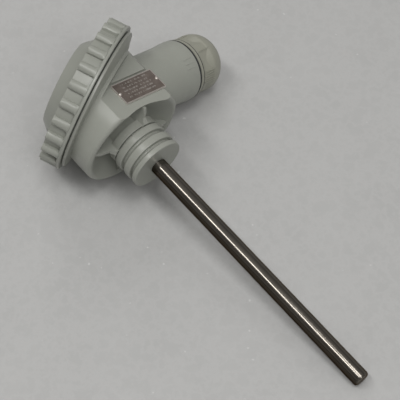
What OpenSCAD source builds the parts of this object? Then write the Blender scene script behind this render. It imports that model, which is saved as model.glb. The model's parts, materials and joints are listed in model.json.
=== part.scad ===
// Resistance thermometer with a connection head, lying on a flat surface.
// Everything is drawn in the head's own frame and then laid down as one piece:
// the origin is where the stem axis crosses the conduit axis, +X runs out along
// the conduit, +Z runs away from the stem, and the nameplate side looks along -Y.

/* [Stem] */
// Outer diameter of the stem
stem_d = 8; // [6:0.5:10]
// Length of the stem that stands out of the neck
stem_len = 136.2; // [90:1:300]
// Wall of the stem tube
stem_wall = 0.75; // [0.5:0.05:1]
// Thickness of the closed end of the stem
tip_wall = 2; // [1:0.1:3]
// Rounding of the closed end
tip_round = 1.5; // [0.6:0.1:2.5]

/* [Neck] */
// Diameter of the grip rings
ring_d = 27.2; // [26:0.2:30]
// Number of grip rings
ring_n = 3; // [2:1:4]
// Width of one grip ring
ring_w = 4.4; // [3.6:0.1:5]
// Width of the groove between two rings
groove_w = 1.6; // [1:0.1:2.4]
// Depth of the groove between two rings
groove_depth = 1.7; // [1:0.1:2.2]
// Rounding on the edges of the rings
ring_round = 0.5; // [0.2:0.1:0.8]
// Gap between the first ring and the foot of the body
neck_gap = 1.1; // [1:0.1:3]

/* [Body] */
// Outside diameter of the round body
body_d = 54.2; // [52:0.2:60]
// Depth of the body below the conduit axis
body_depth = 23.7; // [22:0.2:28]
// Wall of the body
wall = 3; // [2.4:0.1:3.4]
// Rounding of the body's lower edge
foot_round = 1.9; // [1:0.1:2.4]
// Slope of the hollow under the body, degrees from level
cove_a = 32; // [24:1:34]
// Thickness of the four gussets in that hollow
gusset_t = 1.4; // [1:0.1:2.5]
// Distance from the stem axis to the nameplate flat
flat_y = 21.4; // [20.8:0.1:23]
// Step between the nameplate flat and the flat above it
flat_step = 1.2; // [0.6:0.1:2]

/* [Slanted mouth] */
// Tilt of the cover's axis away from the conduit
tilt = 26.6; // [22:0.2:30]
// Offset of the cover's axis from the crossing of stem and conduit
mouth_offset = 2.3; // [1:0.1:4]
// Diameter of the flange under the cover
flange_d = 70.6; // [68:0.2:73]
// Height of the flange's top face above the crossing
flange_top = 3.7; // [3:0.1:4.5]
// Thickness of the flange at its rim
flange_t = 1.5; // [1.2:0.1:2.5]
// Drop of the flange's underside from rim to body
flange_drop = 3.2; // [2.4:0.1:4]
// Depth of the gasket's groove in the flange
groove_h = 0.9; // [0.6:0.1:1.1]
// Outside diameter of the spigot that the cover screws on
spigot_d = 62; // [60:0.2:64]
// Wall of the spigot
spigot_wall = 3; // [2.4:0.1:3.6]
// Height of the spigot above the flange
spigot_h = 7.4; // [6:0.2:8]

/* [Cover] */
// Diameter of the cover over its teeth
cover_d = 75.2; // [74:0.2:80]
// Height of the cover's rim
rim_h = 10.1; // [9.4:0.1:12]
// Gap between the flange and the cover's lip
lip_gap = 0.4; // [0.3:0.05:0.8]
// Height of the plain lip at the rear of the rim
lip_h = 1.7; // [1.2:0.1:3]
// Number of teeth round the rim
tooth_n = 24; // [16:1:36]
// Depth of the recesses between the teeth
tooth_depth = 2.7; // [1.5:0.1:3]
// Share of the pitch that a tooth takes
tooth_share = 0.49; // [0.4:0.01:0.65]
// Diameter of the crown where it leaves the rim
crown_d1 = 54; // [48:0.5:58]
// Diameter of the flat top of the crown
crown_d2 = 42.4; // [36:0.5:46]
// Height of the crown above the rim
crown_h = 6.9; // [5:0.1:10]
// Wall of the crown
crown_wall = 2.8; // [2:0.1:3.6]
// Clearance between the cover and the spigot
cover_clear = 0.4; // [0.3:0.05:0.6]
// Clearance on each face of the gasket
gasket_clear = 0.05; // [0.02:0.01:0.1]

/* [Conduit boss] */
// Outside diameter of the conduit boss
boss_d = 30.4; // [29:0.2:33]
// Distance from the stem axis to the end of the boss
boss_len = 53.2; // [48:0.2:60]
// Extra diameter of the collar at the end of the boss
boss_collar = 0.8; // [0.4:0.1:1.6]
// Length of the collar at the end of the boss
boss_collar_len = 9; // [6:0.5:12]
// Diameter of the conduit bore
conduit_d = 20; // [19:0.1:21]

/* [Cable gland] */
// Thickness of the sealing washer
washer_t = 1.4; // [0.8:0.1:1.6]
// Thickness of the gland's flange
gland_flange_t = 1.5; // [1.2:0.1:2.5]
// Bore through the gland body
gland_bore = 14.6; // [13:0.2:15]
// Diameter of the gland body's upper thread
gland_thread_d = 23.2; // [22.6:0.1:23.6]
// Diameter of the nut over its corners
nut_d = 29.5; // [29:0.1:31]
// Width of the nut across its flats
nut_af = 27; // [26.4:0.1:28]
// Length of the nut
nut_len = 18.4; // [18:0.1:22]
// Gap between the gland's flange and the nut
nut_gap = 0.5; // [0.3:0.1:1]
// Width of a rib on the nut
rib_w = 0.6; // [0.4:0.1:0.8]
// Radius of the nut's domed end
nut_round = 10; // [8:0.5:10.5]
// Opening in the end of the nut
nut_open = 15.4; // [14:0.2:16]
// Bore of the seal insert
seal_bore = 13; // [8:0.2:13.4]
// Number of claws on the gland body
claw_n = 10; // [8:1:14]

/* [Nameplate] */
// Length of the nameplate
plate_l = 26.1; // [20:0.1:28]
// Height of the nameplate
plate_h = 12.3; // [10:0.1:13]
// Thickness of the nameplate
plate_t = 0.5; // [0.3:0.1:0.8]
// Distance from the stem axis to the middle of the plate
plate_x = 5.4; // [2:0.1:7]
// Depth of the middle of the plate below the conduit axis
plate_z = 11.5; // [11:0.1:13]

/* [Terminals] */
// Diameter of the ceramic terminal block
block_d = 34.8; // [32:0.2:35]
// Height of the terminal block
block_h = 10; // [8:0.5:12]
// Height of the pillars that carry the block
pillar_h = 7.2; // [6.8:0.1:9]
// Distance between the block's two screws
block_pitch = 27; // [26:0.2:28]
// Diameter of the hole in the middle of the block
block_hole = 10; // [8:0.5:11]
// Diameter of a lead wire
wire_d = 0.8; // [0.5:0.1:1]
// Clearance of a wire in its holes
wire_clear = 0.1; // [0.05:0.01:0.15]
// Length of the sensing element
element_len = 15; // [10:1:25]
// Diameter of the sensing element
element_d = 3; // [2:0.1:3.4]

/* [Hidden] */
$fn = 96;
eps = 0.01;
fit = 0.05;

// Neck, from the foot of the body down to the face round the stem
ring_r = ring_d / 2;
groove_r = ring_r - groove_depth;
ring_pitch = ring_w + groove_w;
neck_top = -body_depth - neck_gap;
neck_end = neck_top - ring_n * ring_pitch + groove_w;
stem_r = stem_d / 2;
held_r = stem_r - 0.5;
tip_z = neck_end - stem_len;

// Body
body_r = body_d / 2;
foot_z = -body_depth;
foot_r = body_r - foot_round;
cove_x = foot_r - foot_round * sin(cove_a);
cove_z = foot_z + foot_round * (1 - cos(cove_a));
cove_top = cove_z + (cove_x - ring_r - 1.5) * tan(cove_a) + 0.5;
floor_z = cove_top + wall;
room_r = body_r - wall;
step_z = -plate_z + plate_h / 2 + 0.6;

// Flange, spigot and cover, along the cover's axis
flange_r = flange_d / 2;
spigot_r = spigot_d / 2;
mouth_r = spigot_r - spigot_wall;
spigot_end = flange_top + spigot_h;
cover_r = cover_d / 2;
cover_rear = flange_top + lip_gap;
gasket_t = groove_h + lip_gap - 2 * gasket_clear;
gasket_out = flange_r - 2;
rim_end = cover_rear + rim_h;
cover_bore = spigot_r + cover_clear;
ceiling = rim_end + crown_h - crown_wall;

// Gland, along the conduit axis
boss_r = boss_d / 2;
gland_z0 = boss_len + washer_t;
nut_z0 = gland_z0 + gland_flange_t + nut_gap;
nut_end = nut_z0 + nut_len;
nut_r = nut_d / 2;
dome_r = nut_r - nut_round;
dome_z = nut_end - nut_round;
thread_r = conduit_d / 2 - fit;
thread_len = 0.6 * conduit_d;

// Nameplate pins
pin_r = 0.6;
pin_depth = 2;

// Terminal block
block_z = floor_z + pillar_h;
block_top = block_z + block_h;
clamp_w = 4.6;
clamp_h = 3.8;
clamp_in = 6.6;
clamp_out = 15.6;
wire_r = wire_d / 2;
wire_hole = wire_r + wire_clear;
wire_ring = 1.5;
wire_z = block_top + 1.6;
wire_turn = 1.2;
lead_a = [52, 128, 232, 308];
bush_head = 4;
shank_r = held_r + 3.1;
bush_af = 2 * shank_r + 3.1;
bush_z = floor_z + 1;
sheath_top = bush_z + bush_head + 0.8;
bore_r = stem_r - stem_wall;
held_bore = bore_r - 0.25;
insulator_top = sheath_top - 3.2;
element_z = tip_z + tip_wall + 1;
insulator_end = element_z + element_len + 0.4;

// Resting position: the head lies on the rear edge of the cover's rim, the dome
// of the nut and the tip of the stem. Each of the three is a ring of radius a,
// rounded by b, about a centre p and an axis n; its lowest point for an up
// vector u is p - a * (u without its part along n) - b * u. The plane through the
// three lowest points gives a better up vector, and a dozen rounds settle it.
function unit(v) = v / norm(v);
function low(c, u) = c[0] - c[2] * unit(u - (u * c[1]) * c[1]) - c[3] * u;
ct = cos(tilt);
st = sin(tilt);
cover_n = [-st, 0, ct];
cover_e = [ct, 0, st];
lip_edge = 0.5;
rests = [
    [mouth_offset * cover_e + (cover_rear + lip_edge) * cover_n, cover_n,
        cover_r - lip_edge, lip_edge],
    [[dome_z, 0, 0], [1, 0, 0], dome_r, nut_round],
    [[0, 0, tip_z + tip_round], [0, 0, 1], stem_r - tip_round, tip_round]];
function plane_up(q, u) =
    let (n = unit(cross(q[1] - q[0], q[2] - q[0]))) n * u > 0 ? n : -n;
function settle(u, k) =
    k == 0 ? u : settle(plane_up([for (c = rests) low(c, u)], u), k - 1);
up = settle(unit([-0.3, -0.93, 0.18]), 12);
ahead = unit([0, 0, -1] + up[2] * up);
side = cross(up, ahead);

// Extent of the ring c in the direction d
function reach(c, d) =
    c[0] * d + c[2] * sqrt(max(0, 1 - pow(c[1] * d, 2))) + c[3];
crown_ring = [mouth_offset * cover_e + (rim_end + crown_h) * cover_n, cover_n,
    crown_d2 / 2, 0];
rim_ring = [mouth_offset * cover_e + rim_end * cover_n, cover_n, cover_r, 0];
extents = concat(rests, [crown_ring, rim_ring]);
function far(d) = max([for (c = extents) reach(c, d)]);
mid_x = (far(ahead) - far(-ahead)) / 2;
mid_y = (far(side) - far(-side)) / 2;
ground = low(rests[0], up) * up;
laid = [[ahead[0], ahead[1], ahead[2], -mid_x],
    [side[0], side[1], side[2], -mid_y],
    [up[0], up[1], up[2], -ground],
    [0, 0, 0, 1]];

// Points of an arc about (x, y), from angle a0 to a1
function arc(x, y, r, a0, a1, n = 6) =
    [for (i = [0:n]) let (a = a0 + (a1 - a0) * i / n) [x + r * cos(a), y + r * sin(a)]];

// Frames: the laid-down part, the cover's axis, the conduit's axis, the plate
module lay() multmatrix(laid) children();
module on_cover() rotate([0, -tilt, 0]) translate([mouth_offset, 0, 0]) children();
module on_boss() rotate([0, 90, 0]) children();
module on_plate(y) translate([plate_x, -y, -plate_z]) rotate([90, 0, 0]) children();
module ring(r1, r0, z0, h) translate([0, 0, z0]) difference() {
    cylinder(r = r1, h = h);
    translate([0, 0, -1]) cylinder(r = r0, h = h + 2);
}

// One grip ring's outline, from its lower face at z to its upper face
function ring_pts(z) = concat(
    [[groove_r, z]],
    arc(ring_r - ring_round, z + ring_round, ring_round, -90, 0, 4),
    arc(ring_r - ring_round, z + ring_w - ring_round, ring_round, 0, 90, 4),
    [[groove_r, z + ring_w]]);

// Body, foot, hollow and neck as one turned outline; the hollow climbs from the
// foot as a shallow cone and runs out level round the neck
root_r = ring_r - 0.5;
module body_turned() rotate_extrude() polygon(concat(
    [[0, neck_end]],
    [for (i = [ring_n - 1:-1:0])
        for (p = ring_pts(neck_top - i * ring_pitch - ring_w)) p],
    [[groove_r, foot_z], [root_r, foot_z], [root_r, foot_z + 1.6], [groove_r, foot_z + 1.6]],
    [[groove_r, cove_top]],
    [[ring_r + 0.3, cove_top - 0.1], [ring_r + 1.5, cove_top - 0.5]],
    arc(foot_r, foot_z + foot_round, foot_round, -90 - cove_a, 0, 9),
    [[body_r, body_r], [0, body_r]]));

// Four gussets that tie the neck to the foot, flared at the neck; the one under
// the nameplate is shorter
module gusset(end) intersection() {
    rotate([90, 0, 0]) translate([0, 0, -5]) linear_extrude(10)
        polygon([[groove_r - 1, neck_top + 0.2], [ring_r, neck_top + 0.2],
            [end - 2.5, foot_z - 0.1], [end, foot_z + 1], [end, cove_top + 1],
            [groove_r - 1, cove_top + 1]]);
    translate([0, 0, neck_top - 1]) linear_extrude(cove_top - neck_top + 3)
        polygon([for (s = [-1, 1], p = s < 0
            ? [[groove_r - 1, 2.2], [ring_r - 0.2, 1.6], [ring_r + 2, gusset_t / 2 + 0.15], [foot_r, gusset_t / 2]]
            : [[foot_r, gusset_t / 2], [ring_r + 2, gusset_t / 2 + 0.15], [ring_r - 0.2, 1.6], [groove_r - 1, 2.2]])
            [p[0], s * p[1]]]);
}
module gussets() {
    for (a = [0, 90, 180]) rotate([0, 0, a]) gusset(cove_x - 0.5);
    rotate([0, 0, 270]) gusset(flat_y - 1);
}

// Flange with its slanted underside, and the spigot
module flange() on_cover() rotate_extrude() polygon(concat(
    [[0, flange_top - flange_t - flange_drop - 2],
        [21, flange_top - flange_t - flange_drop]],
    [[flange_r - 1, flange_top - flange_t - 0.1]],
    arc(flange_r - 0.4, flange_top - flange_t + 0.4, 0.4, -90, 0, 4),
    arc(flange_r - 0.4, flange_top - 0.4, 0.4, 0, 90, 4),
    [[gasket_out + 0.2, flange_top], [gasket_out + 0.2, flange_top - groove_h],
        [spigot_r, flange_top - groove_h], [spigot_r, spigot_end - 0.6],
        [spigot_r - 0.6, spigot_end], [0, spigot_end]]));

module boss() on_boss() {
    rotate_extrude() polygon(concat(
        [[0, 0], [boss_r, 0], [boss_r, boss_len - boss_collar_len]],
        [[boss_r + boss_collar / 2, boss_len - boss_collar_len / 2]],
        arc(boss_r + boss_collar / 2 - 0.5, boss_len - 0.5, 0.5, 0, 90, 4),
        [[0, boss_len]]));
}

module half_space_below(z, s = 200) translate([-s / 2, -s / 2, z - s]) cube(s);

// The wiring room: round below, open through the spigot above
module room() {
    intersection() {
        translate([0, 0, floor_z]) cylinder(r = room_r, h = 60);
        translate([-50, -(flat_y - wall), -50]) cube(100);
        on_cover() half_space_below(flange_top - 1);
    }
    on_cover() translate([0, 0, flange_top - 1.1]) cylinder(r = mouth_r, h = 60);
}

module housing() color([0.62, 0.64, 0.6]) lay() difference() {
    union() {
        intersection() {
            body_turned();
            on_cover() half_space_below(flange_top - groove_h);
        }
        gussets();
        flange();
        boss();
        intersection() {
            for (x = [-1, 1]) translate([x * block_pitch / 2, 0, floor_z - 1])
                cylinder(r = 3.9, h = pillar_h + 1);
            cylinder(r = room_r + 1, h = 100, center = true);
        }
    }
    room_cut();
    // nameplate flat and the flat above it, both stopped by the flange
    intersection() {
        union() {
            translate([-60, -60 - flat_y, foot_z - 1]) cube([120, 60, step_z - foot_z + 1]);
            translate([-60, -60 - flat_y - flat_step, step_z - eps]) cube([120, 60, 60]);
        }
        on_cover() half_space_below(flange_top - flange_t - flange_drop);
    }
    // conduit, stem and bush bores
    on_boss() cylinder(r = conduit_d / 2, h = boss_len + 1);
    translate([0, 0, neck_end - 1]) cylinder(r = held_r + fit, h = 100);
    translate([0, 0, neck_end + 8]) cylinder(r = shank_r + fit, h = 100);
    // holes of the nameplate's pins
    on_plate(flat_y) for (x = [-1, 1]) translate([x * pin_x, 0, -pin_depth - 0.1])
        cylinder(r = pin_r + 0.02, h = pin_depth + 1, $fn = 24);
    // seats of the two brass inserts
    for (x = [-1, 1]) translate([x * block_pitch / 2, 0, block_z - insert_len])
        cylinder(r = insert_r, h = 20);
}
insert_r = 2.9;
insert_len = 6;
module room_cut() difference() {
    room();
    for (x = [-1, 1]) translate([x * block_pitch / 2, 0, floor_z - 2])
        cylinder(r = 3.9, h = pillar_h + 2);
}

// Screw cover: plain lip, toothed rim and crown, hollow inside
tooth_a = 360 / tooth_n;
tooth_r = cover_r - 0.05;
module tooth_2d() let (h = tooth_a * tooth_share / 2, k = cover_r - tooth_depth)
    polygon(concat([[k - 1, -(k - 1) * sin(h)]],
        [for (i = [-4:4]) let (a = h * i / 4, r = tooth_r - 0.5 * pow(abs(i) / 4, 3))
            [r * cos(a), r * sin(a)]],
        [[k - 1, (k - 1) * sin(h)]]));
module cover() color([0.62, 0.64, 0.6]) lay() on_cover() difference() {
    union() {
        rotate_extrude() polygon(concat(
            [[0, cover_rear]],
            arc(cover_r - lip_edge, cover_rear + lip_edge, lip_edge, -90, 0, 4),
            [[cover_r, cover_rear + lip_h - 0.5], [cover_r - 0.5, cover_rear + lip_h]],
            [[cover_r - tooth_depth, cover_rear + lip_h]],
            [[cover_r - tooth_depth, rim_end]],
            [[crown_d1 / 2, rim_end]],
            arc(crown_d2 / 2 - 1.6, rim_end + crown_h - 1.6, 1.6, 35, 90, 5),
            [[0, rim_end + crown_h]]));
        translate([0, 0, cover_rear + lip_h - 0.2])
            linear_extrude(rim_h - lip_h + 0.2)
                for (i = [0:tooth_n - 1]) rotate(i * tooth_a) tooth_2d();
    }
    rotate_extrude() polygon([[0, cover_rear - 1], [cover_bore + 1, cover_rear - 1],
        [cover_bore + 1, cover_rear], [cover_bore, cover_rear + 1],
        [cover_bore, spigot_end + 0.6],
        [crown_d1 / 2 - crown_wall - 0.6, spigot_end + 0.6],
        [crown_d2 / 2 - crown_wall, ceiling], [0, ceiling]]);
}

module cover_gasket() color([0.16, 0.16, 0.16]) lay() on_cover()
    ring(gasket_out, spigot_r + 0.2, flange_top - groove_h + gasket_clear, gasket_t);

// Nameplate with rounded corners and two holes, and the pins that hold it
pin_x = plate_l / 2 - 1.1;
module plate_2d(r = 0.8) difference() {
    union() {
        square([plate_l - 2 * r, plate_h], center = true);
        square([plate_l, plate_h - 2 * r], center = true);
        for (x = [-1, 1], y = [-1, 1])
            translate([x * (plate_l / 2 - r), y * (plate_h / 2 - r)]) circle(r, $fn = 24);
    }
    for (x = [-1, 1]) translate([x * pin_x, 0]) circle(pin_r + fit, $fn = 24);
}
module nameplate() color([0.4, 0.37, 0.35]) lay() on_plate(flat_y)
    linear_extrude(plate_t) plate_2d();
module nameplate_pins() color([0.8, 0.8, 0.8]) lay() on_plate(flat_y)
    for (x = [-1, 1]) translate([x * pin_x, 0, -pin_depth]) {
        cylinder(r = pin_r, h = pin_depth + plate_t + fit, $fn = 24);
        translate([0, 0, pin_depth + plate_t]) rotate_extrude($fn = 24) polygon(
            concat([[0, 0]], arc(0, -0.35, 1.05, 20, 90, 4)));
    }

// Cable gland, along the conduit
module gland_washer() color([0.15, 0.15, 0.15]) lay() on_boss()
    ring(boss_r - 2.6, conduit_d / 2 + 0.1, boss_len, washer_t);
module gland_body() color([0.62, 0.63, 0.55]) lay() on_boss() difference() {
    union() {
        translate([0, 0, boss_len - thread_len])
            cylinder(r = thread_r, h = thread_len + washer_t + eps);
        translate([0, 0, gland_z0]) cylinder(r = boss_r - 0.1, h = gland_flange_t);
        translate([0, 0, gland_z0]) cylinder(r = gland_thread_d / 2, h = claw_z0 - gland_z0);
        translate([0, 0, claw_z0 - eps]) cylinder(r = gland_thread_d / 2 - 0.8, h = claw_len);
    }
    cylinder(r = gland_bore / 2, h = 200);
    translate([0, 0, claw_z0 - 1]) cylinder(r = claw_in, h = claw_len + 2);
    for (i = [0:claw_n - 1]) rotate([0, 0, i * 360 / claw_n])
        translate([0, -0.5, claw_z0 + 0.6]) cube([gland_thread_d, 1, claw_len]);
}
claw_z0 = gland_z0 + gland_flange_t + 7.2;
claw_len = 5.4;
claw_in = 9.2;
seal_z0 = claw_z0 - 0.8;
seal_end = nut_end - 4.2;
module gland_seal() color([0.2, 0.2, 0.2]) lay() on_boss()
    ring(claw_in - 0.3, seal_bore / 2, seal_z0, seal_end - seal_z0);

// Nut: six flats with rounded corners that fade into a dome; the corners carry
// three grip ribs and one by turns
nut_bore = gland_thread_d / 2 + 0.3;
nut_turn = 36;
rib_out = 0.35;
corner_r = nut_r - rib_out;
module nut_2d() union() {
    intersection() {
        circle(r = corner_r);
        rotate(nut_turn) circle(r = nut_af / 2 / cos(30), $fn = 6);
    }
    for (k = [0:5], a = k % 2 == 1 ? [-10, 0, 10] : [7]) rotate(nut_turn + 60 * k + a)
        translate([nut_r - 2, -rib_w / 2]) square([2 - 0.05, rib_w]);
}
module gland_nut() color([0.62, 0.63, 0.55]) lay() on_boss() difference() {
    union() {
        intersection() {
            translate([0, 0, nut_z0]) linear_extrude(dome_z - nut_z0) nut_2d();
            rotate_extrude() polygon([[0, nut_z0], [nut_r - 0.9, nut_z0],
                [nut_r + 0.2, nut_z0 + 1.1], [nut_r + 0.2, dome_z], [0, dome_z]]);
        }
        rotate_extrude() polygon(concat([[0, dome_z - 5], [nut_af / 2 - 0.5, dome_z - 5]],
            arc(dome_r, dome_z, nut_round, 0, 90, 10), [[0, nut_end]]));
    }
    rotate_extrude() polygon([[0, nut_z0 - 1], [nut_bore, nut_z0 - 1],
        [nut_bore, claw_z0 + claw_len - 0.6], [nut_open / 2 + 1.6, seal_end + 0.9],
        [nut_open / 2, seal_end + 1.5], [nut_open / 2, nut_end + 1], [0, nut_end + 1]]);
}

// Stem, swaged down where the bush holds it, and the bush
module probe_sheath() color([0.45, 0.42, 0.4]) lay() rotate_extrude() polygon(concat(
    [[0, tip_z]], arc(stem_r - tip_round, tip_z + tip_round, tip_round, -90, 0, 6),
    [[stem_r, neck_end - 0.5], [held_r, neck_end - 0.5], [held_r, sheath_top],
        [held_bore, sheath_top], [held_bore, neck_end - 1.5], [bore_r, neck_end - 2.5],
        [bore_r, tip_z + tip_wall + 0.6],
        [bore_r - 0.6, tip_z + tip_wall], [0, tip_z + tip_wall]]));
module bush_washer() color([0.16, 0.16, 0.16]) lay()
    ring(bush_af / 2 + 0.9, shank_r + 0.25, floor_z, 1);
module sheath_bush() color([0.75, 0.62, 0.35]) lay() difference() {
    union() {
        translate([0, 0, bush_z]) intersection() {
            cylinder(r = bush_af / 2 / cos(30), h = bush_head, $fn = 6);
            rotate_extrude() polygon([[0, 0], [bush_af / 2 + 1, 0],
                [bush_af / 2 + 1, bush_head - 0.8], [bush_af / 2 + 0.2, bush_head], [0, bush_head]]);
        }
        translate([0, 0, neck_end + 9]) cylinder(r = shank_r, h = bush_z - neck_end - 9 + eps);
    }
    translate([0, 0, neck_end]) cylinder(r = held_r + 0.02, h = 100);
}

// Terminal block with its clamps and screws
module terminal_block() color([0.9, 0.88, 0.82]) lay() difference() {
    translate([0, 0, block_z]) rotate_extrude() polygon([[block_hole / 2, 0],
        [block_d / 2 - 0.6, 0], [block_d / 2, 0.6], [block_d / 2, block_h - 1],
        [block_d / 2 - 1, block_h], [block_hole / 2 + 0.6, block_h],
        [block_hole / 2, block_h - 0.6]]);
    for (x = [-1, 1]) translate([x * block_pitch / 2, 0, 0]) {
        translate([0, 0, block_z - 1]) cylinder(r = 2.2, h = block_h + 2);
        translate([0, 0, block_top - 4]) cylinder(r = 4, h = 10);
    }
    for (a = lead_a) rotate([0, 0, a])
        translate([clamp_in - 0.2, -clamp_w / 2 - 0.2, block_top - 1])
            cube([clamp_out - clamp_in + 0.4, clamp_w + 0.4, 2]);
}
module terminal_clamps() color([0.8, 0.66, 0.36]) lay()
    for (a = lead_a) rotate([0, 0, a]) difference() {
        translate([clamp_in, -clamp_w / 2, block_top - 1])
            cube([clamp_out - clamp_in, clamp_w, clamp_h]);
        translate([clamp_in - 1, 0, wire_z]) rotate([0, 90, 0])
            cylinder(r = wire_hole, h = 4, $fn = 24);
        translate([clamp_out - 4, 0, wire_z - 0.4]) rotate([0, 90, 0])
            cylinder(r = 1.3, h = 5, $fn = 32);
        for (x = screw_x) translate([x, 0, block_top])
            cylinder(r = 1.3, h = clamp_h, $fn = 32);
    }
screw_x = [clamp_in + 1.9, clamp_out - 2];
module terminal_screws() color([0.75, 0.75, 0.73]) lay()
    for (a = lead_a, x = screw_x) rotate([0, 0, a]) translate([x, 0, 0]) difference() {
        union() {
            translate([0, 0, block_top + clamp_h - 1 + 0.1]) cylinder(r = 2, h = 1.5, $fn = 32);
            translate([0, 0, wire_z + wire_hole + 0.1])
                cylinder(r = 1.25, h = block_top + clamp_h - wire_z - wire_hole - 0.9, $fn = 32);
        }
        translate([-3, -0.3, block_top + clamp_h + 0.1 - 1 + 0.9]) cube([6, 0.6, 3]);
    }
module block_screws() color([0.75, 0.75, 0.73]) lay()
    for (x = [-1, 1]) translate([x * block_pitch / 2, 0, block_top - 4 + 0.9]) difference() {
        union() {
            cylinder(r = 3.4, h = 2.6);
            translate([0, 0, -block_h + 4 - 0.9 - 5]) cylinder(r = 1.95, h = block_h + 2);
        }
        translate([-4, -0.5, 1.6]) cube([8, 1, 3]);
    }
module block_washers() color([0.7, 0.7, 0.7]) lay()
    for (x = [-1, 1]) translate([x * block_pitch / 2, 0, 0])
        ring(3.7, 2.1, block_top - 4, 0.9);
module thread_inserts() color([0.8, 0.66, 0.36]) lay()
    for (x = [-1, 1]) translate([x * block_pitch / 2, 0, 0])
        ring(insert_r - 0.02, 2, block_z - insert_len, insert_len);

// Inside of the stem
module wires_at(r, z0, z1) for (a = lead_a) rotate([0, 0, a])
    translate([wire_ring, 0, z0]) cylinder(r = r, h = z1 - z0, $fn = 24);
module insulator() color([0.95, 0.94, 0.9]) lay() difference() {
    translate([0, 0, insulator_end]) cylinder(r = bore_r - 0.35, h = insulator_top - insulator_end);
    wires_at(wire_hole, insulator_end - 1, insulator_top + 1);
}
module potting() color([0.85, 0.83, 0.76]) lay() difference() {
    translate([0, 0, insulator_top]) cylinder(r = held_bore - fit, h = sheath_top - insulator_top - 0.4);
    wires_at(wire_r + 0.02, insulator_top - 1, sheath_top + 1);
}
module lead_wires() color([0.7, 0.68, 0.65]) lay() {
    wires_at(wire_r, element_z + element_len + 0.05, wire_z - wire_turn);
    for (a = lead_a) rotate([0, 0, a]) {
        translate([wire_ring + wire_turn, 0, wire_z - wire_turn]) rotate([90, 0, 0])
            rotate([0, 0, 90]) rotate_extrude(angle = 90, $fn = 48)
                translate([wire_turn, 0]) circle(r = wire_r, $fn = 24);
        translate([wire_ring + wire_turn, 0, wire_z]) rotate([0, 90, 0])
            cylinder(r = wire_r, h = screw_x[0] + 1 - wire_ring - wire_turn, $fn = 24);
    }
}
module sensing_element() color([0.93, 0.92, 0.88]) lay()
    translate([0, 0, element_z]) cylinder(r = element_d / 2, h = element_len);
module element_fill() color([0.8, 0.79, 0.76]) lay()
    ring(bore_r - fit, element_d / 2 + fit, element_z, element_len);

housing();
cover();
cover_gasket();
nameplate();
nameplate_pins();
gland_washer();
gland_body();
gland_seal();
gland_nut();
probe_sheath();
sheath_bush();
bush_washer();
terminal_block();
terminal_clamps();
terminal_screws();
block_screws();
block_washers();
thread_inserts();
insulator();
lead_wires();
potting();
sensing_element();
element_fill();
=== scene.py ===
# %% [markdown]
# # Resistance temperature probe with connection head
# The solids come from the CAD frame. This notebook gives each of them a
# procedural finish, shows the housing with sloped neck grooves and the cover
# with cushioned grips, adds the fine things that the solids leave out (screw
# threads, grip ribs, seal lips, ruled rows on the nameplate), and lays the
# probe on a workbench under soft indoor light.

# %% Frame
import json
import math

import bmesh
import bpy
import numpy as np
from mathutils import Matrix, Vector


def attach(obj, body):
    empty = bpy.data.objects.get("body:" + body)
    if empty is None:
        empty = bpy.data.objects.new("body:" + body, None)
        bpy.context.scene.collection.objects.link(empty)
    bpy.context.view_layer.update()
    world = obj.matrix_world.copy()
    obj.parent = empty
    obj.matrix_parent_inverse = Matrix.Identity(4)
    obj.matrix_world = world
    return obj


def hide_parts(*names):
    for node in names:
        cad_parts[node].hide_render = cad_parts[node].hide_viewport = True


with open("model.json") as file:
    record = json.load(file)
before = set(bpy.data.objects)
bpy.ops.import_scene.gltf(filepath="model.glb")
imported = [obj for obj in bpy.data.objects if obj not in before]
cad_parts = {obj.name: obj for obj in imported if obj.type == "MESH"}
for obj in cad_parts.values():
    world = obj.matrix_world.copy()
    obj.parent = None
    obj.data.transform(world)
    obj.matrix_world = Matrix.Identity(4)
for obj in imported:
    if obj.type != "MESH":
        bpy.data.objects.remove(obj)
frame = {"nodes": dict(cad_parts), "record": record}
nodes, record = frame["nodes"], frame["record"]


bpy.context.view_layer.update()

# %% [markdown]
# ## The head's own axes
# The probe lies on its side, so the frame's axes are not the head's. The
# mounts and the cover's joint say where the stem, the conduit and the cover
# point, and the new pieces are placed along those.

# %% Axes of the head
mount = {m["name"]: m for m in record["mounts"]}
joint = {j["name"]: j for j in record["behaviour"]["joints"]}
Z = -np.array(mount["stem"]["axis"])             # from the tip up into the head
X = np.array(mount["cable_entry"]["axis"])       # out through the gland
Y = np.cross(Z, X)
stem_at, cable_at = (np.array(mount[k]["pos_m"]) for k in ("stem", "cable_entry"))
O = cable_at + (stem_at - cable_at) @ X * X      # where the stem's and the conduit's axes meet
C = np.array(joint["cover_lift"]["axis"])        # the screw cover's axis
D = np.cross(Y, C)                               # across the cover, away from the stem
COVER_REAR = 0.0041                              # m, the level of the cover's rear edge
K = np.array(joint["cover_turn"]["pos_m"]) - COVER_REAR * C     # the cover's levels count from here
print("head centre in mm:", np.round(O * 1000, 2).tolist())

# %% [markdown]
# ## Camera
# It looks down at the probe from the stem's side, from about 0.6 m. A camera
# could be aimed with a constraint; its axes are worked out here instead, since
# the lamps are placed with the same function later on.

# %% Camera
AIM = Vector((-0.0062, -0.0132, 0.0208))
AZIMUTH, ELEVATION, ROLL = -40.55, 54.39, -1.63  # degrees
DISTANCE, LENS, SENSOR = 0.600, 117.4, 36        # m, mm, mm

az, el, roll = (math.radians(v) for v in (AZIMUTH, ELEVATION, ROLL))
back = Vector((math.cos(el) * math.cos(az), math.cos(el) * math.sin(az), math.sin(el)))
level = Vector((-math.sin(az), math.cos(az), 0))
right = math.cos(roll) * level + math.sin(roll) * back.cross(level)
up = back.cross(right)


def placed(direction, distance, x, y, z):
    """A matrix at a distance from AIM, with the given axes."""
    return Matrix.Translation(AIM + distance * direction) @ Matrix((x, y, z)).transposed().to_4x4()


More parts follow.
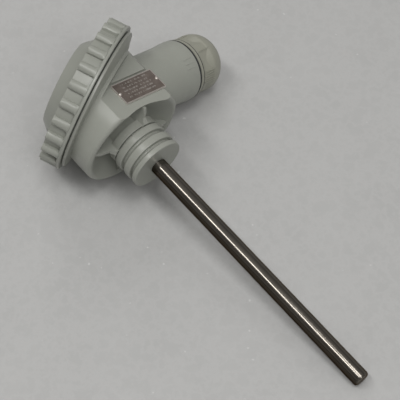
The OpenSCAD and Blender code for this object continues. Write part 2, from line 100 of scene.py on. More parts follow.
cam = bpy.data.objects.new("Camera", bpy.data.cameras.new("Camera"))
bpy.context.scene.collection.objects.link(cam)
cam.matrix_world = placed(back, DISTANCE, right, up, back)
cam.data.lens = LENS
cam.data.sensor_width = SENSOR
cam.data.clip_start, cam.data.clip_end = 0.01, 20
bpy.context.scene.camera = cam
print("camera at", [round(v, 3) for v in cam.location])

# %% [markdown]
# ## Materials
# A small kit for node materials. Every finish works in object coordinates, so
# its grain has a real size in millimetres.

# %% Node helpers
BLACK, WHITE = (0, 0, 0), (1, 1, 1)


class Mat:
    """A node material: node() adds a node, wire() links two sockets."""

    def __init__(self, name):
        self.mat = bpy.data.materials.new(name)
        self.mat.use_nodes = True
        self.tree = self.mat.node_tree
        self.tree.nodes.clear()
        self.out = self.node("OutputMaterial")
        self.bsdf = self.node("BsdfPrincipled")
        self.wire(self.bsdf, "BSDF", self.out, "Surface")
        self.coords = self.node("TexCoord")

    def node(self, kind, **values):
        n = self.tree.nodes.new("ShaderNode" + kind)
        for key, value in values.items():
            if key in n.inputs:
                n.inputs[key].default_value = value
            else:
                setattr(n, key, value)
        return n

    def wire(self, a, out, b, socket):
        self.tree.links.new(a.outputs[out], b.inputs[socket])

    def feed(self, item, socket):
        """Give a socket a link, a colour or a number; a link is (node, output)."""
        if isinstance(item, tuple) and hasattr(item[0], "outputs"):
            self.tree.links.new(item[0].outputs[item[1]], socket)
        else:
            socket.default_value = (*item, 1) if isinstance(item, tuple) and len(item) == 3 else item

    def set(self, **values):
        for key, value in values.items():
            self.bsdf.inputs[key.replace("_", " ")].default_value = value

    def mapping(self, **values):
        n = self.node("Mapping", **values)
        self.wire(self.coords, "Object", n, "Vector")
        return n

    def noise(self, scale, detail=3.0, roughness=0.5, source=None):
        """Noise over the Vector of source, or over object coordinates."""
        n = self.node("TexNoise", Scale=scale, Detail=detail, Roughness=roughness)
        if source is None:
            self.wire(self.coords, "Object", n, "Vector")
        else:
            self.wire(source, "Vector", n, "Vector")
        return n

    def ramp(self, source, out, stops):
        n = self.node("ValToRGB")
        while len(n.color_ramp.elements) < len(stops):
            n.color_ramp.elements.new(0.5)
        for e, (pos, colour) in zip(n.color_ramp.elements, stops):
            e.position = pos
            e.color = (*colour, 1)
        self.wire(source, out, n, "Fac")
        return n

    def span(self, source, out, low, high, start=0.0, end=1.0, **values):
        """Bring an output from start..end to low..high."""
        n = self.node("MapRange", **values)
        for key, value in (("From Min", start), ("From Max", end), ("To Min", low), ("To Max", high)):
            n.inputs[key].default_value = value
        self.wire(source, out, n, "Value")
        return n

    def mix(self, a, b, fac, mode="MIX"):
        n = self.node("Mix", data_type="RGBA", blend_type=mode)
        for item, socket in ((a, n.inputs[6]), (b, n.inputs[7]), (fac, n.inputs[0])):
            self.feed(item, socket)
        return n

    def math(self, op, a, b=0):
        n = self.node("Math", operation=op)
        self.feed(a, n.inputs[0])
        self.feed(b, n.inputs[1])
        return n, "Value"

    def bump(self, source, out, strength, distance, below=None):
        n = self.node("Bump", Strength=strength, Distance=distance)
        self.wire(source, out, n, "Height")
        if below is not None:
            self.wire(below, "Normal", n, "Normal")
        return n

    def wander(self, noise, rough, less, more):
        """Roughness that wanders with the noise, from rough - less to rough + more."""
        spread = self.span(noise, "Fac", rough - less, rough + more, 0.3, 0.7)
        self.wire(spread, "Result", self.bsdf, "Roughness")


def linear(r, g, b):
    """sRGB 0..255 to a linear colour."""
    return tuple(((v / 255 + 0.055) / 1.055) ** 2.4 if v > 10 else v / 255 / 12.92 for v in (r, g, b))


def shade(colour, k):
    """The colour k times as bright."""
    return tuple(min(1.0, v * k) for v in colour)


# %% [markdown]
# ## Moulded plastic
# Head and gland are moulded in a pale grey plastic, matt but with a soft sheen.
# One flat grey would look like paint, so the tone drifts a little, dust shows as
# light specks, and two bumps give a fine mould grain and a slow unevenness.


# %% Moulded plastic
def moulded(name, colour, rough, grain=0.12, haze=0.05):
    """Matt moulded skin with a faint cloud, dust specks and a wandering gloss."""
    m = Mat(name)
    stops = [(0.3, shade(colour, 1 - haze)), (0.55, colour), (0.75, shade(colour, 1 + haze * 0.7))]
    tone = m.ramp(m.noise(38, 4, 0.55), "Fac", stops)
    dust = m.ramp(m.noise(900, 2, 0.6), "Fac", [(0.0, BLACK), (0.62, BLACK), (0.8, WHITE)])
    m.wire(m.mix((tone, "Color"), shade(colour, 1.12), (dust, "Color")), 2, m.bsdf, "Base Color")
    m.wander(m.noise(70, 3), rough, 0.07, 0.09)
    skin = m.bump(m.noise(2600, 2, 0.6), "Fac", grain, 0.00006)
    m.wire(m.bump(m.noise(150, 2, 0.4), "Fac", 0.10, 0.0002, skin), "Normal", m.bsdf, "Normal")
    m.set(IOR=1.5, Specular_IOR_Level=0.55)
    return m.mat


head_plastic = moulded("head_plastic", linear(150, 152, 144), 0.37)
gland_plastic = moulded("gland_plastic", linear(148, 148, 136), 0.36, grain=0.08, haze=0.04)
print("moulded plastics:", head_plastic.name, gland_plastic.name)

# %% [markdown]
# ## Rubber
# The seals are dark, dull rubber and only their edges show. A high roughness
# with a mottled tone and a coarse grain is all that they need.


# %% Rubber
def rubber(name, colour, rough=0.72):
    m = Mat(name)
    tone = m.ramp(m.noise(160, 4, 0.6), "Fac", [(0.3, shade(colour, 0.75)), (0.7, shade(colour, 1.35))])
    m.wire(tone, "Color", m.bsdf, "Base Color")
    m.wander(m.noise(240, 3), rough, 0.08, 0.1)
    m.wire(m.bump(m.noise(1900, 3, 0.7), "Fac", 0.25, 0.00008), "Normal", m.bsdf, "Normal")
    m.set(IOR=1.52, Specular_IOR_Level=0.35)
    return m.mat


seal_rubber = rubber("seal_rubber", (0.028, 0.03, 0.031))
grey_rubber = rubber("grey_rubber", (0.13, 0.135, 0.125), 0.60)

# %% [markdown]
# ## Metals
# The stem is drawn stainless tube with painted shade on its side towards the
# bench, the screws and inserts are turned. Drawn and turned metal has fine
# lines, which are noise squeezed hard across one axis; anisotropy in the
# shader would need tangents.


# %% Metals
GRAIN_ALONG = 6.0              # noise cells per metre along the drawing direction


def metal(name, colour, rough, axis, across=900.0, tint=None, sheen=None, painted_shade=None):
    """Drawn or turned metal: fine lines along the axis, cloudy tone, light scratches.

    across is the number of noise cells per metre across the axis. tint is the
    cloud's light tone, sheen the specular tint, and the last argument a
    (direction, colour) pair that darkens the faces turned that way: painted shade.
    """
    m = Mat(name)
    to_axis = Vector(axis).rotation_difference(Vector((0, 0, 1))).to_euler()
    grain = m.mapping(Scale=(across, across, GRAIN_ALONG), Rotation=to_axis)
    lines = m.noise(1.0, 4, 0.6, grain)
    stops = [(0.28, shade(colour, 0.86)), (0.52, colour), (0.78, tint or shade(colour, 1.12))]
    tone = m.ramp(m.noise(55, 4, 0.6), "Fac", stops)
    share = m.span(lines, "Fac", 0.0, 0.35, 0.45, 0.8)
    skin = m.mix((tone, "Color"), shade(colour, 0.72), (share, "Result"))
    # Painted shade: faces turned towards the given side get a darker colour.
    if painted_shade is not None:
        side, dark = painted_shade
        facing = m.node("VectorMath", operation="DOT_PRODUCT")
        facing.inputs[1].default_value = side
        m.wire(m.coords, "Normal", facing, 0)
        band = m.span(facing, "Value", 0.0, 1.0, 0.35, 0.85, interpolation_type="SMOOTHSTEP")
        skin = m.mix((skin, 2), dark, (band, "Result"), "MULTIPLY")
    m.wire(skin, 2, m.bsdf, "Base Color")
    m.wander(m.noise(120, 4, 0.65), rough, 0.03, 0.06)
    fine = m.bump(lines, "Fac", 0.06, 0.00004)
    m.wire(m.bump(m.noise(420, 2), "Fac", 0.03, 0.0001, fine), "Normal", m.bsdf, "Normal")
    m.set(Metallic=1.0)
    if sheen is not None:
        m.set(Specular_Tint=(*sheen, 1))
    return m.mat


# Painted shade: the stem's faces turned towards the bench are darkened in its colour.
LOW_SIDE = Vector((-0.09, -0.98, -0.15)).normalized()     # the stem's side near the bench
stem_steel = metal("stem_steel", (0.195, 0.180, 0.158), 0.15, Z, tint=(0.215, 0.195, 0.17),
                   sheen=(0.30, 0.26, 0.22), painted_shade=(LOW_SIDE, (0.34, 0.31, 0.28)))
screw_steel = metal("screw_steel", (0.62, 0.62, 0.60), 0.32, C, across=1500)
bright_pin = metal("bright_pin", (0.62, 0.57, 0.53), 0.42, Y, across=1500)
brass = metal("brass", (0.72, 0.53, 0.24), 0.30, Z, tint=(0.80, 0.62, 0.30))
print("metals:", [m.name for m in (stem_steel, screw_steel, bright_pin, brass)])

# %% [markdown]
# ## Ceramic
# The terminal block and the fillings inside are unglazed ceramic: off-white,
# rough, with dark specks.


# %% Ceramic
def ceramic(name, colour, rough=0.55):
    m = Mat(name)
    tone = m.ramp(m.noise(90, 4, 0.6), "Fac", [(0.3, shade(colour, 0.93)), (0.75, shade(colour, 1.04))])
    specks = m.ramp(m.noise(700, 2), "Fac", [(0.0, BLACK), (0.68, BLACK), (0.78, WHITE)])
    m.wire(m.mix((tone, "Color"), shade(colour, 0.62), (specks, "Color")), 2, m.bsdf, "Base Color")
    m.wander(m.noise(300, 3), rough, 0.1, 0.1)
    m.wire(m.bump(m.noise(1300, 4, 0.7), "Fac", 0.3, 0.00006), "Normal", m.bsdf, "Normal")
    m.set(IOR=1.6)
    return m.mat


block_ceramic = ceramic("block_ceramic", (0.80, 0.78, 0.71))
powder = ceramic("powder_fill", (0.72, 0.69, 0.62), 0.85)

# %% [markdown]
# ## Nameplate
# A small etched steel plate sits in a recess of the head. Its field is brown
# grey, its border is bare metal that is also painted lighter, a painted
# highlight along the edge, and it stays bare: plain ruled rows stand where such a
# plate has its print. They are worked out in the plate's own plane, so they stay
# with it from every side.

# %% Nameplate
PLATE_AT = (0.0054, -0.0214, -0.0115)        # its middle along X, Y and Z
RULE_PITCH, RULE_SHARE = 0.0019, 0.42
RULED_HALF = (0.0088, 0.0048)                # half size of the ruled field
# The border is bare metal and is also painted lighter than the field: a painted highlight along the plate's
# edge.
BRIGHT_BORDER_FROM = (0.0124, 0.0055)                 # the bright border starts here


def etched_plate(name):
    """Etched steel sheet: brown-grey field with plain ruled rows, no lettering."""
    m = Mat(name)
    along_plate = Matrix((X, Z, -Y))         # object space -> (along, up, out) of the plate
    centre = along_plate @ Vector(O + np.array(PLATE_AT) @ np.stack([X, Y, Z]))
    place = m.mapping(Rotation=along_plate.to_euler(), Location=-centre)
    parts = m.node("SeparateXYZ")
    m.wire(place, "Vector", parts, "Vector")
    off_x, off_y = (m.math("ABSOLUTE", (parts, axis)) for axis in "XY")

    # rows: a thin rule at each pitch, broken into fields by a coarse noise
    rule = m.math("LESS_THAN", m.math("FRACT", m.math("DIVIDE", (parts, "Y"), RULE_PITCH)), RULE_SHARE)
    stretch = m.node("VectorMath", operation="MULTIPLY")
    stretch.inputs[1].default_value = (900, 520, 1)
    m.wire(place, "Vector", stretch, 0)
    broken = m.math("GREATER_THAN", (m.noise(1.0, 2, 0.5, stretch), "Fac"), 0.5)
    field = m.math("MULTIPLY", m.math("LESS_THAN", off_x, RULED_HALF[0]),
                   m.math("LESS_THAN", off_y, RULED_HALF[1]))
    ink = m.math("MULTIPLY", m.math("MULTIPLY", rule, broken), field)
    # Painted highlight: the border all round gets a light colour and more metal.
    edge = m.math("MAXIMUM", m.math("GREATER_THAN", off_x, BRIGHT_BORDER_FROM[0]),
                  m.math("GREATER_THAN", off_y, BRIGHT_BORDER_FROM[1]))

    browns = [(0.3, (0.150, 0.122, 0.105)), (0.55, (0.200, 0.166, 0.145)), (0.8, (0.27, 0.23, 0.205))]
    ground = m.ramp(m.noise(210, 4, 0.6), "Fac", browns)
    inked = m.mix((ground, "Color"), (0.46, 0.43, 0.40), m.math("MULTIPLY", ink, 0.7))
    m.wire(m.mix((inked, 2), (0.66, 0.62, 0.58), edge), 2, m.bsdf, "Base Color")
    m.wander(m.noise(500, 3), 0.42, 0.08, 0.08)
    m.wire(m.span(*edge, 0.55, 0.9), "Result", m.bsdf, "Metallic")
    m.wire(m.bump(*ink, 0.25, 0.00004), "Normal", m.bsdf, "Normal")
    return m.mat


plate_steel = etched_plate("plate_steel")

# %% [markdown]
# ## Finishes onto the solids
# A solid whose shape is right keeps its mesh and only gets a material.

# %% Finishes onto the CAD nodes
DRESS = {
    head_plastic: ("housing", "cover"),
    gland_plastic: ("gland_body", "gland_nut"),
    grey_rubber: ("cover_gasket", "bush_washer"),
    seal_rubber: ("gland_washer", "gland_seal"),
    plate_steel: ("nameplate",),
    bright_pin: ("nameplate_pins",),
    stem_steel: ("probe_sheath",),
    brass: ("sheath_bush", "terminal_clamps", "thread_inserts"),
    screw_steel: ("terminal_screws", "block_screws", "block_washers", "lead_wires"),
    block_ceramic: ("terminal_block", "insulator", "sensing_element"),
    powder: ("potting", "element_fill"),
}
dressed = {name: mat for mat, names in DRESS.items() for name in names}
for name, mat in dressed.items():
    for s in nodes[name].material_slots:
        s.material = mat
print("dressed", len(dressed), "of", len(nodes), "nodes; left:", sorted(set(nodes) - set(dressed)))

# %% [markdown]
# ## Neck of the head
# The moulded neck has grooves with sloping flanks and a long root collar, while
# the solid keeps square grooves. A new neck could be lofted, but then it would
# have to be sewn to the body. Moving whole levels of a merged copy along the
# stem gives the slopes and leaves every other face where the solid has it.

# %% Copies that stand for a solid
MERGE_AT = 2e-6                # m, joins the solid's split corners
SHARP_FROM = 28                # degrees
EVEN_WEIGHT = 80


def refined_copy(node, name, body, mat, shape, cut=None):
    """A merged copy of a CAD node that replaces it.

    cut(bm) may add edges to the copy, and shape(points) then gives the new places
    of all its points, as one array.
    """
    mesh = nodes[node].data.copy()
    mesh.name = name
    bm = bmesh.new()
    bm.from_mesh(mesh)
    bmesh.ops.remove_doubles(bm, verts=bm.verts, dist=MERGE_AT)
    if cut is not None:
        cut(bm)
    bm.to_mesh(mesh)
    bm.free()

    points = np.empty(3 * len(mesh.vertices), dtype=np.float32)
    mesh.vertices.foreach_get("co", points)
    moved = shape(points.reshape(-1, 3).astype(float))
    mesh.vertices.foreach_set("co", moved.astype(np.float32).ravel())
    mesh.update()

    if mesh.has_custom_normals:
        mesh.attributes.remove(mesh.attributes["custom_normal"])
    mesh.polygons.foreach_set("use_smooth", [True] * len(mesh.polygons))
    mesh.set_sharp_from_angle(angle=math.radians(SHARP_FROM))
    mesh.materials.clear()
    mesh.materials.append(mat)
    ob = bpy.data.objects.new(name, mesh)
    bpy.context.scene.collection.objects.link(ob)
    even = ob.modifiers.new("even", "WEIGHTED_NORMAL")
    even.keep_sharp = True
    even.mode = "FACE_AREA_WITH_ANGLE"
    even.weight = EVEN_WEIGHT
    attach(ob, body)
    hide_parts(node)
    print(name, "has", len(mesh.vertices), "points")
    return ob


# %% Housing with the sloped grooves
NECK = (  # mm: level range from the crossing, radius range, shift along the stem
    (-23.75, -23.65, 11.8, 13.3, -2.6),
    (-24.65, -24.55, 11.8, 13.75, -2.1),
    (-25.35, -24.75, 11.8, 13.7, -2.3),
    (-29.25, -28.65, 11.8, 13.7, -1.6),
    (-30.85, -30.75, 11.8, 12.0, -0.9),
    (-31.35, -30.75, 12.9, 13.7, -2.1),
    (-35.25, -34.65, 11.8, 13.7, -1.5),
    (-36.85, -36.75, 11.8, 12.0, -0.8),
    (-37.35, -36.75, 12.9, 13.7, -1.8),
)


def sloped_neck(points):
    """Each point within a level range and a radius range of NECK moves along Z by that row's shift."""
    q = 1000 * (points - O)
    z, r = q @ Z, np.hypot(q @ X, q @ Y)
    shift = np.zeros(len(points))
    for low, high, inner, outer, move in NECK:
        shift[(z >= low) & (z <= high) & (r >= inner) & (r <= outer)] = move
    return points + np.outer(shift / 1000, Z)


refined_copy("housing", "head_casting", "head", head_plastic, sloped_neck)

# %% [markdown]
# ## Cover
# The screw cover has 24 grips that feel like cushions: their crest is high and
# their sides and free corners fall away. Modelling one grip and repeating it
# would lose the cover's inside and its groove. The solid's own grips are cut
# across at a few levels, and their points then move inwards by a formula.

# %% Cover with cushioned grips
GRIP_PITCH, GRIP_HALF = 15.0, 3.675      # degrees
GRIP_FOOT, GRIP_END = 5.8, 14.2          # mm along the cover's axis
GRIP_ROOT_R = 34.9                       # mm
GRIP_LEVELS = (6.4, 7.2, 11.6, 12.6, 13.3, 13.8)
BULGE, BULGE_POWER, BULGE_RISE = 0.75, 2.2, 1.4
CORNER, CORNER_POWER, CORNER_REACH = 1.1, 1.5, 2.6


def cover_place(points):
    """Millimetres along the cover's axis, radius from it, and the angle round it from D to Y."""
    q = (points - K) * 1000
    return q @ C, np.hypot(q @ D, q @ Y), np.degrees(np.arctan2(q @ Y, q @ D))


def cut_grips(bm):
    """Cut the grips' faces across at GRIP_LEVELS."""
    for level in GRIP_LEVELS:
        bm.verts.index_update()
        c, r, _ = cover_place(np.array([v.co for v in bm.verts]))
        on_grip = (c > GRIP_FOOT - 0.25) & (r > GRIP_ROOT_R - 0.05)
        faces = [f for f in bm.faces if all(on_grip[v.index] for v in f.verts)]
        verts = dict.fromkeys(v for f in faces for v in f.verts)
        edges = dict.fromkeys(e for f in faces for e in f.edges)
        bmesh.ops.bisect_plane(bm, geom=[*verts, *edges, *faces], dist=1e-7,
                               plane_co=Vector(K + level / 1000 * C), plane_no=Vector(C))


def cushioned(points):
    """Move the grips' points towards the cover's axis.

    With u the share of the grip's half width, the flanks drop by BULGE times u to
    BULGE_POWER, which rises smoothly from the foot over BULGE_RISE. The free
    corners drop by CORNER times u to CORNER_POWER times a quarter circle that
    fills the last CORNER_REACH. The crest, where u is 0, and the foot stay.
    """
    c, r, angle = cover_place(points)
    u = np.abs((angle + GRIP_PITCH / 2) % GRIP_PITCH - GRIP_PITCH / 2) / GRIP_HALF
    on_grip = (c >= GRIP_FOOT + 0.1) & (c <= GRIP_END + 0.05) & (r >= GRIP_ROOT_R + 0.1) & (u <= 1.02)
    w = np.clip((c - GRIP_FOOT) / BULGE_RISE, 0, 1)
    end = 1 - np.clip((GRIP_END - c) / CORNER_REACH, 0, 1)
    drop = BULGE * u ** BULGE_POWER * w * w * (3 - 2 * w)
    drop += CORNER * u ** CORNER_POWER * (1 - np.sqrt(1 - end * end))
    a = np.radians(angle)
    out = np.outer(np.cos(a), D) + np.outer(np.sin(a), Y)
    return points - (np.where(on_grip, drop, 0) / 1000)[:, None] * out


refined_copy("cover", "screw_cover", "cover", head_plastic, cushioned, cut_grips)

# %% [markdown]
# ## Threads
# The solids keep plain cylinders where the real parts have threads. They show
# when the cover is screwed off or the gland nut is backed out. A screw modifier
# could turn a profile, but it has no fading ends, so the ridge is worked out as
# a grid: the turns along one side, the section along the other.

# %% Mesh helpers
def grid_faces(rows, cols, close_rows=False, close_cols=False):
    """Quads between the neighbours of a grid of points, numbered row by row.

    A closed direction joins its last line to its first.
    """
    i, j = np.meshgrid(np.arange(rows - (not close_rows)), np.arange(cols - (not close_cols)), indexing="ij")
    next_i, next_j = (i + 1) % rows, (j + 1) % cols
    corners = [i * cols + j, i * cols + next_j, next_i * cols + next_j, next_i * cols + j]
    return np.stack(corners, axis=-1).reshape(-1, 4)


def turned(quads):
    """The same quads with their other side outwards."""
    return quads[:, [0, 3, 2, 1]]


def piece(name, points, faces, body, mat, smooth=True, sharp_from=None):
    """An object of points and faces; edges that bend by more than sharp_from degrees stay sharp."""
    mesh = bpy.data.meshes.new(name)
    mesh.from_pydata(points.reshape(-1, 3).tolist(), [], faces)
    mesh.validate()
    mesh.update()
    mesh.materials.append(mat)
    mesh.polygons.foreach_set("use_smooth", [smooth] * len(mesh.polygons))
    if sharp_from is not None:
        mesh.set_sharp_from_angle(angle=math.radians(sharp_from))
    ob = bpy.data.objects.new(name, mesh)
    bpy.context.scene.collection.objects.link(ob)
    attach(ob, body)
    return ob


# %% Threads
THREAD_SUNK = 0.00003
THREAD_CREST = 0.32            # the crest's share of the ridge's width


def helix(name, centre, axis, across, r_root, depth, pitch, span, width, mat, steps=72):
    """A thread ridge: a trapezoid section carried along a helix.

    The section's middle is at the angle 2 pi times the turns done, and as far along
    the axis as its share of the span says. Its foot is sunk under r_root and its
    crest stands depth above it, less over the first and the last sixth of a turn.
    """
    start, end = span
    turns = (end - start) / pitch
    rings = int(turns * steps) + 1
    t = np.linspace(0, 1, rings)
    a = 2 * math.pi * turns * t
    out = np.outer(np.cos(a), across) + np.outer(np.sin(a), np.cross(axis, across))
    middle = centre + np.outer(start + (end - start) * t, axis)
    crest = r_root + depth * np.clip(np.minimum(t, 1 - t) * turns * 6, 0.02, 1)
    foot = np.full(rings, r_root - THREAD_SUNK)
    radius = np.stack([foot, crest, crest, foot], axis=1)
    along = width / 2 * np.array([-1, -THREAD_CREST, THREAD_CREST, 1])
    points = middle[:, None] + radius[..., None] * out[:, None] + along[None, :, None] * axis
    last = 4 * (rings - 1)
    faces = turned(grid_faces(rings, 4, close_cols=True)).tolist()
    faces += [(0, 1, 2, 3), (last + 3, last + 2, last + 1, last)]
    return piece(name, points, faces, "head", mat)


helix("spigot_thread", K, C, D, 0.0310, 0.00030, 0.0030, (0.0054, 0.0104), 0.0016,
      head_plastic)
helix("gland_thread", O, X, Y, 0.0116, 0.00022, 0.0015, (0.0570, 0.0626), 0.0011,
      gland_plastic, steps=48)
print("threads made")

# %% [markdown]
# ## Grip ribs
# The conduit boss has three low ribs and the nut has ribs between its flats.
# Bevelled cubes would look alike at a distance, but they wouldn't sink into the
# round skin at their ends. Each rib is a small grid over its length and width,
# closed underneath, where the skin hides it.


# %% Directions round the conduit
def round_conduit(azimuth):
    """Unit vectors away from the conduit's axis and along its skin; 0 degrees is -Y, 90 is Z."""
    a = math.radians(azimuth)
    return -math.cos(a) * Y + math.sin(a) * Z, math.sin(a) * Y + math.cos(a) * Z


# %% Ribs on the boss
BOSS_RIB_AT = (0.0455, 0.0512)           # from and to along the conduit
BOSS_RIB_R, BOSS_RIB_HEIGHT, BOSS_RIB_WIDTH, BOSS_RIB_SUNK = 0.0155, 0.00032, 0.0008, 0.00008
RIM_BEND = 60                            # degrees, only the underside's rim bends more


def boss_rib(name, azimuth, rows=13, cols=7):
    """A low rib, rounded over its length and its width.

    Its height over the boss is the full height times a parabola across, 1 - v**2,
    times the root of 1 - u**4 along, with u and v from -1 to 1, less what it sinks.
    """
    out, tang = round_conduit(azimuth)
    u, v = np.linspace(-1, 1, rows), np.linspace(-1, 1, cols)
    x = np.interp(u, (-1, 1), BOSS_RIB_AT)
    q = v * BOSS_RIB_WIDTH / 2
    swell = np.sqrt(np.clip(1 - u ** 4, 0, 1))
    radius = np.sqrt(BOSS_RIB_R ** 2 - q ** 2) + BOSS_RIB_HEIGHT * np.outer(swell, 1 - v ** 2) - BOSS_RIB_SUNK
    points = O + x[:, None, None] * X + radius[..., None] * out + q[None, :, None] * tang
    at = np.arange(rows * cols).reshape(rows, cols)
    underside = np.concatenate([at[0, :-1], at[:-1, -1], at[-1, :0:-1], at[:0:-1, 0]])
    faces = turned(grid_faces(rows, cols)).tolist() + [underside.tolist()]
    return piece(name, points, faces, "head", head_plastic, sharp_from=RIM_BEND)


for k, angle in enumerate((-36, -27, -18)):
    boss_rib(f"boss_rib_{k + 1}", angle)
print("boss ribs made")

# %% Ribs on the nut
NUT_RIB_AT = (0.0577, 0.0672)
NUT_RIB_R, NUT_RIB_HEIGHT, NUT_RIB_WIDTH, NUT_RIB_SUNK = 0.01435, 0.0005, 0.0007, 0.0006
NUT_RIB_ACROSS = np.array([-0.5, -0.38, -0.2, 0.2, 0.38, 0.5])      # shares of the width
NUT_RIB_RISE = np.array([0, 0.85, 1.0, 1.0, 0.85, 0])               # shares of the height


def nut_rib(name, azimuth, rows=11):
    """A square-shouldered section carried along the nut, sinking into the dome at its far end.

    With u from 0 to 1 along the rib, the height is full but for a ramp of 6 u + 0.3
    at the near end and of 4 (1 - u) + 0.1 at the far end.
    """
    out, tang = round_conduit(azimuth)
    u = np.linspace(0, 1, rows)
    x = np.interp(u, (0, 1), NUT_RIB_AT)
    height = NUT_RIB_HEIGHT * np.minimum(1, 6 * u + 0.3) * np.minimum(1, 4 * (1 - u) + 0.1)
    radius = NUT_RIB_R + np.outer(height, NUT_RIB_RISE) - NUT_RIB_SUNK * (NUT_RIB_RISE == 0)
    across = NUT_RIB_WIDTH * NUT_RIB_ACROSS
    points = O + x[:, None, None] * X + radius[..., None] * out + across[None, :, None] * tang
    cols = len(across)
    near_end = np.arange(cols)
    far_end = (rows * cols - 1) - near_end
    faces = turned(grid_faces(rows, cols, close_cols=True)).tolist() + [near_end.tolist(), far_end.tolist()]
    return piece(name, points, faces, "nut", gland_plastic, smooth=False)


for k, angle in enumerate((-80, -70, -60, -12)):
    nut_rib(f"nut_rib_{k + 1}", angle)
print("nut ribs made")

# %% [markdown]
# ## Seal lips
# A dark rubber line shows on both sides of the gland's flange, where the seals
# are squeezed out a little. A torus would do; here it is the same kind of grid
# as the rest, closed both ways.


# %% Seal lips of the gland
def lip_ring(name, x, r, thick, steps=96, around=10):
    """A ring round the conduit: a circle of radius thick, b, carried along a circle of radius r, a."""
    a = np.linspace(0, 2 * math.pi, steps, endpoint=False)
    b = np.linspace(0, 2 * math.pi, around, endpoint=False)
    out = np.outer(np.cos(a), Y) + np.outer(np.sin(a), Z)
    along, radius = x + thick * np.cos(b), r + thick * np.sin(b)
    points = O + along[None, :, None] * X + radius[None, :, None] * out[:, None]
    faces = grid_faces(steps, around, close_rows=True, close_cols=True).tolist()
    return piece(name, points, faces, "head", seal_rubber)


lip_ring("washer_lip", 0.05372, 0.01502, 0.00046)
lip_ring("nut_lip", 0.05642, 0.01475, 0.00030)

# %% [markdown]
# ## Bench
# The probe lies on a pale grey stone-like bench with faint veins and small
# light flecks. One flat face is enough, and the flecks are Voronoi cells whose
# random colour sets how large each of them grows.

# %% Bench
BENCH_HALF = 3.0               # m
BENCH_GREY = linear(178, 178, 177)


def bench_stone():
    """Clouded grey, thin veins, and flecks where a cell's own size beats the distance to its middle."""
    m = Mat("bench")
    clouds = [(0.3, shade(BENCH_GREY, 0.965)), (0.7, shade(BENCH_GREY, 1.03))]
    tone = m.ramp(m.noise(26, 5, 0.6), "Fac", clouds)
    veins = m.ramp(m.noise(95, 5, 0.7), "Fac", [(0.42, BLACK), (0.5, (0.5, 0.5, 0.5)), (0.58, BLACK)])
    veined = m.mix((tone, "Color"), shade(BENCH_GREY, 1.10), (veins, "Color"))
    bent = m.node("VectorMath", operation="MULTIPLY_ADD")
    bent.inputs[1].default_value = (0.003, 0.003, 0.0)
    m.wire(m.noise(170, 2), "Color", bent, 0)
    m.wire(m.coords, "Object", bent, 2)
    cells = m.node("TexVoronoi", Scale=170.0)
    m.wire(bent, "Vector", cells, "Vector")
    lucky = m.node("SeparateXYZ")
    m.wire(cells, "Color", lucky, "Vector")
    near = m.math("SUBTRACT", (m.span(lucky, "X", -0.22, 0.13), "Result"), (cells, "Distance"))
    flecks = m.ramp(*near, [(0.0, BLACK), (0.06, (0.65, 0.65, 0.65))])
    m.wire(m.mix((veined, 2), shade(BENCH_GREY, 1.45), (flecks, "Color")), 2, m.bsdf, "Base Color")
    m.wander(m.noise(60, 3), 0.50, 0.08, 0.08)
    m.wire(m.bump(m.noise(330, 4, 0.65), "Fac", 0.25, 0.0003), "Normal", m.bsdf, "Normal")
    return m.mat


corners = [(BENCH_HALF * x, BENCH_HALF * y, 0) for x, y in ((-1, -1), (1, -1), (1, 1), (-1, 1))]
bench_top = bpy.data.meshes.new("bench")
bench_top.from_pydata(corners, [], [(0, 1, 2, 3)])
bench_top.materials.append(bench_stone())
bench = bpy.data.objects.new("bench", bench_top)
bpy.context.scene.collection.objects.link(bench)
print("bench laid")

# %% [markdown]
# ## Room
# The glossy stem and the plastic's sheen show what stands around them: a dim
# room with a brighter band of wall and a pale ceiling. A captured panorama could
# do that; a ramp over the height of the world's direction needs no file.

# %% World
ROOM = ((0.0, 0.14), (0.3, 0.41), (0.6, 0.15), (1.0, 0.38))     # height and grey level
ROOM_TINT = np.array([1, 0.985, 0.96])

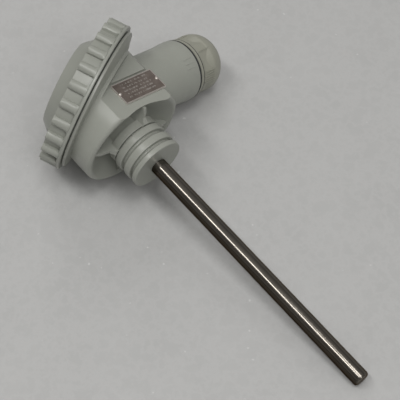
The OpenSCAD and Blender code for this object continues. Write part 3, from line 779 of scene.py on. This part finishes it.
world = bpy.data.worlds.new("Room")
bpy.context.scene.world = world
world.use_nodes = True
wt = world.node_tree
sky = wt.nodes["Background"]
where = wt.nodes.new("ShaderNodeTexCoord")
apart = wt.nodes.new("ShaderNodeSeparateXYZ")
fall = wt.nodes.new("ShaderNodeValToRGB")
wt.links.new(where.outputs["Generated"], apart.inputs["Vector"])
wt.links.new(apart.outputs["Z"], fall.inputs["Fac"])
wt.links.new(fall.outputs["Color"], sky.inputs["Color"])
for pos in (0.5, 0.7):
    fall.color_ramp.elements.new(pos)
for e, (pos, grey) in zip(fall.color_ramp.elements, ROOM):
    e.position = pos
    e.color = (*(grey * ROOM_TINT), 1)
sky.inputs["Strength"].default_value = 1.0
print("world:", world.name)

# %% [markdown]
# ## Lights
# A long narrow ceiling panel draws the bright line along the stem, a small lamp
# overhead gives the upper faces their sheen, and two soft lamps fill the sides:
# a weak one behind and a stronger one at the front. Area lamps are used because
# their size sets how soft an edge of shadow or of gloss is.


# %% Lights
def lamp(name, direction, distance, size, power, colour, long_axis=up):
    """An area lamp in a direction from the probe, aimed at it, its height along long_axis."""
    data = bpy.data.lights.new(name, "AREA")
    data.shape = "RECTANGLE"
    data.size, data.size_y = size
    data.energy, data.color = power, colour
    ob = bpy.data.objects.new(name, data)
    bpy.context.scene.collection.objects.link(ob)
    z = Vector(direction).normalized()
    x = Vector(long_axis).cross(z).normalized()
    ob.matrix_world = placed(z, distance, x, z.cross(x), z)
    return ob


lamp("ceiling_panel", (-0.17, -0.36, 0.92), 1.6, (0.22, 1.10), 7.2, (1.0, 0.995, 0.985), long_axis=-Z)
lamp("overhead", (0.24, -0.05, 0.97), 1.6, (0.46, 0.40), 5.2, (1.0, 0.995, 0.99), long_axis=-Z)
lamp("far_fill", (-0.64, 0.34, 0.64), 1.8, (0.8, 0.8), 2.8, (1.0, 1.0, 0.995))
lamp("near_fill", (0.60, -0.15, 0.78), 1.8, (0.8, 0.8), 8.0, (1.0, 1.0, 1.0))

# %% [markdown]
# ## Colours
# The Standard view shows a colour about as it is written.

# %% Colour management
bpy.context.scene.view_settings.view_transform = "Standard"
print("view transform:", bpy.context.scene.view_settings.view_transform)
